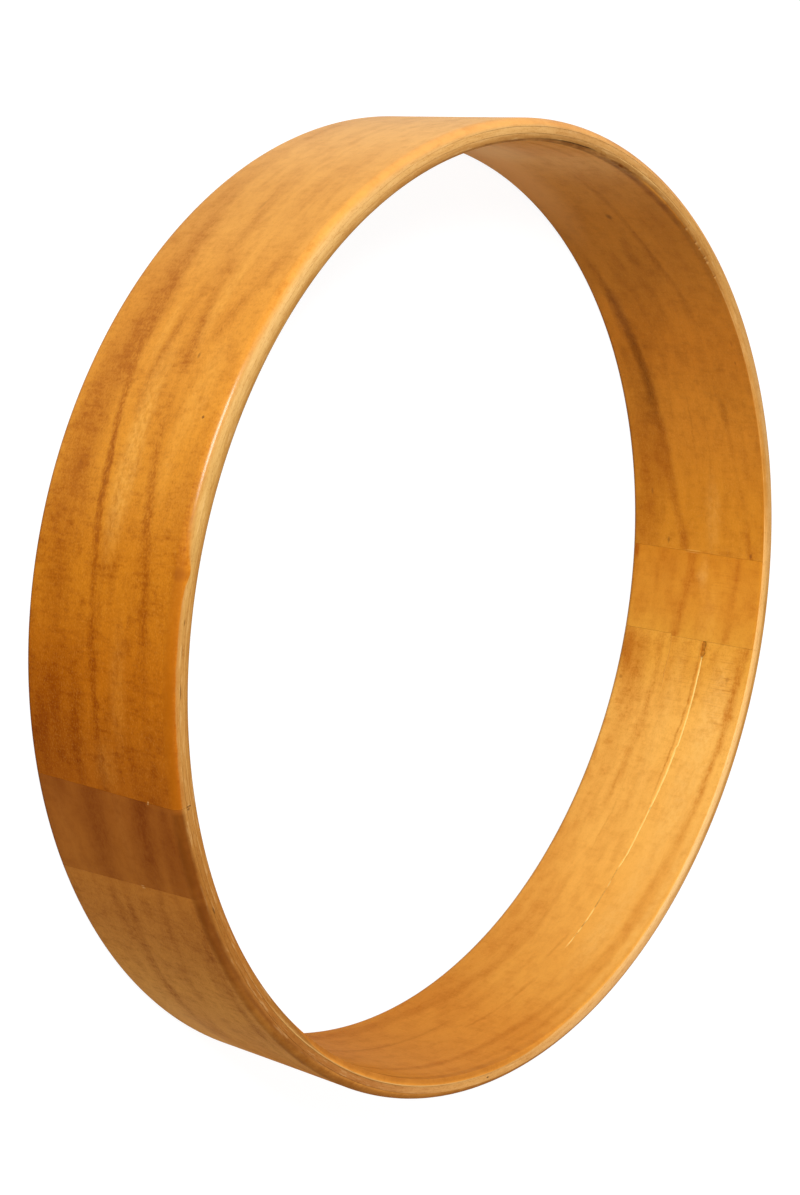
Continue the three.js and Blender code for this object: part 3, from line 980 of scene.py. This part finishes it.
INNER_ZONES = [
    (88, 8, 8, 14, 0.4), (88.6, 5, 5, 5, 0.5), (80, 12, 14, 12, 0.25), (22, 8, 14, 10, 0.12),
    (36, 8, 24, 16, 0.3), (62, 8, 20, 14, 0.25), (86, 49, 5, 4, 0.15), (107, 8, 7, 12, 0.35),
    (118, 12, 13, 16, 0.4), (131, 14, 11, 15, 0.4), (142, 26, 12, 16, 0.35), (104.4, 54, 0.6, 5, 0.3),
    (148, 37, 10, 8, 0.3), (132, 29.4, 4, 2, 0.15), (168, 72.6, 13, 2.8, 0.6), (116, 55, 8, 3, 0.12),
    (158, 62, 9, 10, 0.24), (22, 62, 10, 8, 0.12), (90.6, 48, 2, 3.6, 0.4), (-60, 30, 40, 24, 0.15),
    (-130, 50, 30, 18, 0.15),
]
INNER_GLOW = [
    (82, 61, 10, 10, 0.45), (72, 59, 14, 12, 0.5), (60, 57, 12, 10, 0.25), (46, 56, 14, 10, 0.35),
    (85, 36, 8, 6, 0.15), (50, 72, 30, 3, 0.35), (75, 34, 12, 6, 0.2), (110, 47, 8, 6, 0.15),
]
# The broad pale spots at 174 and 183 are a painted pale reflection of the varnish; the narrow pale spot on
# the seam at 104.25 is glue with a painted highlight
INNER_SPOTS = [
    (86.55, 64.4, 0.5, 1.5, 0.55, (176, 108, 40)), (160.9, 38.4, 0.9, 2.2, 0.5, (96, 58, 22)),
    (104.6, 68.6, 0.5, 0.8, 0.6, (124, 70, 26)), (133.8, 69.8, 0.4, 0.7, 0.5, (124, 70, 24)),
    (137, 70.6, 0.8, 0.8, 0.35, (134, 78, 28)), (112.3, 12, 0.7, 0.9, 0.45, (128, 74, 24)),
    (105.3, 21.6, 0.7, 0.9, 0.5, (120, 68, 22)), (84.2, 4.4, 0.4, 1.4, 0.4, (134, 76, 24)),
    (104.25, 36, 0.12, 6, 0.3, (240, 190, 106)), (174, 8, 24, 22, 0.6, (240, 172, 98)),
    (141, 13, 7, 6, 0.25, (130, 78, 38)), (183, 22, 8, 24, 0.5, (252, 200, 130)),
]
INNER_GLOSS = [
    (-180, 0.08), (-90, 0.06), (20, 0.06), (45, 0.15), (90, 0.15), (140, 0.06), (160, 0.06),
    (180, 0.08),
]

outer_wood = veneer(
    "outer_veneer_varnish", OUTSIDE, OUTER_EDGE, OUTER_TONE_AND_SHEEN, OUTER_TINT, OUTER_FIGURE,
    OUTER_STREAKS, OUTER_ZONES, OUTER_GOLD_AND_SHEEN, OUTER_SPOTS, OUTER_GLOSS,
)
outer_patch_wood = veneer(
    "outer_patch_varnish",
    OUTSIDE,
    {**OUTER_EDGE, "gold": (184, 114, 46)},
    drift=[(-66, (161, 91, 29)), (-50, (173, 103, 36))],
    tint=[(-66, (200, 174, 148)), (-50, (200, 174, 148))],
    figure=[(-66, 0.45), (-50, 0.45)],
    streaks=[
        ([(-65, 57), (-60, 56), (-53, 54)], 8, 9, [(-66, 0.9), (-60, 0.85), (-53, 0.6)]),
        ([(-65, 31), (-60, 30), (-53, 29)], 10, 11, [(-66, 0.7), (-59, 0.7), (-53, 0.45)]),
    ],
    zones=[(-58, 68, 10, 9, 0.5), (-64, 14, 4, 8, 0.2), (-59, 38, 8, 2, 0.1)],
    glow=[(-60, 43.5, 7, 3.4, 0.2), (-58, 10, 7, 8, 0.25)],
    # The pale spots on the seams are glue with a painted highlight
    spots=[
        (-64.05, 60.4, 0.12, 0.6, 0.5, (232, 180, 114)), (-53.35, 46.2, 0.1, 1.2, 0.4, (232, 180, 114)),
    ],
    gloss=[(-70, 0.04), (-50, 0.04)],
)
inner_wood = veneer(
    "inner_veneer_varnish", BORE, INNER_EDGE, INNER_TONE_AND_SHEEN, INNER_TINT, INNER_FIGURE,
    INNER_STREAKS, INNER_ZONES, INNER_GLOW, INNER_SPOTS, INNER_GLOSS,
)
inner_patch_wood = veneer(
    "inner_patch_varnish",
    BORE,
    {**INNER_EDGE, "gold": (240, 176, 84)},
    drift=[(88, (232, 166, 61)), (98, (225, 151, 48)), (106, (216, 139, 36))],
    tint=[(88, (212, 176, 134)), (106, (212, 176, 134))],
    figure=[(88, 0.6), (106, 0.6)],
    streaks=[
        ([(91, 59), (97, 60), (104.5, 62.8)], 2.6, 3.4, [(90, 0.25), (97, 0.3), (105, 0.4)]),
        ([(91, 30), (96.8, 33), (104.5, 37.6)], 3, 5.5, [(90, 0.55), (97, 0.5), (105, 0.45)]),
    ],
    zones=[(103.4, 3.2, 2.2, 2.2, 0.7), (96, 24, 7, 7, 0.12), (102, 22, 5, 14, 0.2)],
    glow=[(95, 48, 6, 8, 0.2), (101, 43, 4, 4, 0.3)],
    # The narrow pale spot on the seam at 103.95 is glue with a painted highlight
    spots=[
        (103.95, 36, 0.1, 5.5, 0.25, (240, 190, 106)), (100.7, 41.6, 1.2, 4.5, 0.15, (246, 190, 104)),
    ],
    gloss=[(88, 0.15), (106, 0.12)],
)


def core_wood_material():
    """Pale wood of the core ply, which shows only along the crown of the edges."""
    wood = Wood("core_ply_edge", CORE_MIDDLE)
    colour = wood.bare()
    for azimuth, half_azimuth, radius, half_radius, amount, spot in (
        (-76.4, 1.1, 198.4, 0.3, 0.8, STAIN), (-83.5, 0.5, 198.4, 0.3, 0.6, STAIN),
        (-80.5, 1, 198.4, 0.22, 0.45, STAIN), (-51.5, 0.7, 198.7, 0.35, 0.9, STAIN),
        (10.3, 0.35, 198.6, 0.55, 0.9, STAIN), (-63.9, 0.2, 198.6, 0.9, 0.7, STAIN),
        (-34, 0.6, 198.9, 0.4, 0.35, STAIN), (-61, 0.7, 198.2, 0.18, 0.35, STAIN),
        (76, 1.6, 198.6, 0.8, 0.4, AMBER), (87, 1.2, 198.4, 0.9, 0.4, AMBER),
    ):
        there = wood.oval(azimuth, half_azimuth, wood.minus(wood.radius, radius), half_radius, 0.3)
        colour = wood.mix(wood.times(there, wood.near_top(), amount), colour, spot)
    rough = wood.math("MULTIPLY_ADD", wood.noise(20, 2, 2, 4.4), 0.15, 0.5)
    return wood.finish(colour, rough, 0.06, 0.25, wood.noise(14, 0.4, 3, 2.9), 0.3, 0.0001, ["Normal"])


for piece, node, slot, material in (
    (outer_ply, "outer_ply", "outer_veneer", outer_wood),
    (outer_patch, "outer_patch", "outer_patch_veneer", outer_patch_wood),
    (core_ply, "core_ply", "core_wood", core_wood_material()),
    (inner_ply, "inner_ply", "inner_veneer", inner_wood),
    (inner_patch, "inner_patch", "inner_patch_veneer", inner_patch_wood),
):
    piece.data.materials.append(material)
    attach(piece, "root")
    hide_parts(node)


def background_share(nodes):
    """1 where the camera, a reflection or a see-through surface looks at the background."""
    ray = nodes.add("ShaderNodeLightPath", {}).outputs
    return nodes.most(nodes.most(ray["Is Camera Ray"], ray["Is Glossy Ray"]), ray["Is Transmission Ray"])


# Floor: a grey that keeps the shell's shadow, and enough light of its own to look white
FLOOR_HALF = 8
FLOOR_GREY = (0.22, 0.22, 0.22, 1)
FLOOR_LIGHT = 0.9
WHITE = (1, 1, 1, 1)
corners = [(x * FLOOR_HALF, y * FLOOR_HALF, 0) for x, y in ((-1, -1), (1, -1), (1, 1), (-1, 1))]
floor_mesh = bpy.data.meshes.new("floor")
floor_mesh.from_pydata(corners, [], [(0, 1, 2, 3)])
floor = bpy.data.objects.new("floor", floor_mesh)
bpy.context.scene.collection.objects.link(floor)
floor_material = bpy.data.materials.new("floor_white")
floor_material.use_nodes = True
nodes = Nodes(floor_material.node_tree)
glow = nodes.times(background_share(nodes), FLOOR_LIGHT)
matt = nodes.add("ShaderNodeBsdfDiffuse", {"Color": FLOOR_GREY})
lit = nodes.add("ShaderNodeEmission", {"Color": WHITE, "Strength": glow})
both = nodes.add("ShaderNodeAddShader", {0: matt.outputs[0], 1: lit.outputs[0]})
nodes.add("ShaderNodeOutputMaterial", {"Surface": both.outputs[0]})
floor_mesh.materials.append(floor_material)

# World: white where it is seen, and a soft even fill for the object
WORLD_FILL = 0.25
world = bpy.data.worlds.new("studio")
world.use_nodes = True
bpy.context.scene.world = world
nodes = Nodes(world.node_tree)
inputs = {"Value": background_share(nodes), "To Min": WORLD_FILL, "To Max": 1.0}
level = nodes.add("ShaderNodeMapRange", inputs).outputs["Result"]
sky = nodes.add("ShaderNodeBackground", {"Color": WHITE, "Strength": level})
nodes.add("ShaderNodeOutputWorld", {"Surface": sky.outputs[0]})


def softbox(name, direction, distance, width, height, share, seen):
    """Area lamp that lights a white surface facing it to the given share of white."""
    data = bpy.data.lights.new(name, "AREA")
    data.shape = "RECTANGLE"
    data.size = width
    data.size_y = height
    data.energy = share * math.pi**2 * distance**2
    lamp = bpy.data.objects.new(name, data)
    towards = Vector(direction).normalized()
    lamp.location = towards * distance + Vector((0, 0, DEPTH / 2000))
    lamp.rotation_euler = towards.to_track_quat("Z", "Y").to_euler()
    lamp.visible_glossy = seen
    bpy.context.scene.collection.objects.link(lamp)


softbox("key", (-0.336, -0.689, 0.643), 1.6, 0.46, 0.4, 1.08, True)
softbox("fill", (0.93, -0.08, 0.42), 1.6, 1.2, 0.9, 0.38, False)
softbox("back", (-0.34, 0.94, 0.14), 1.6, 1.2, 0.6, 0.34, False)

# Camera, fitted to the outlines of the shell in the photograph: place in metres, and directions
LENS = 68.117
SENSOR = 36
PLACE = (0, -0.764245, 0.621819)
VIEW = (0.000566, 0.780928, -0.624621)
RIGHT = (-0.178692, 0.614647, 0.768296)
UP = (-0.983905, -0.11118, -0.139894)
camera_data = bpy.data.cameras.new("camera")
camera_data.sensor_fit = "AUTO"
camera_data.sensor_width = SENSOR
camera_data.lens = LENS
camera = bpy.data.objects.new("camera", camera_data)
bpy.context.scene.collection.objects.link(camera)
turned = Matrix((RIGHT, UP, -Vector(VIEW))).transposed().to_4x4()
turned.translation = PLACE
camera.matrix_world = turned
bpy.context.scene.camera = camera

bpy.context.scene.view_settings.view_transform = "Standard"
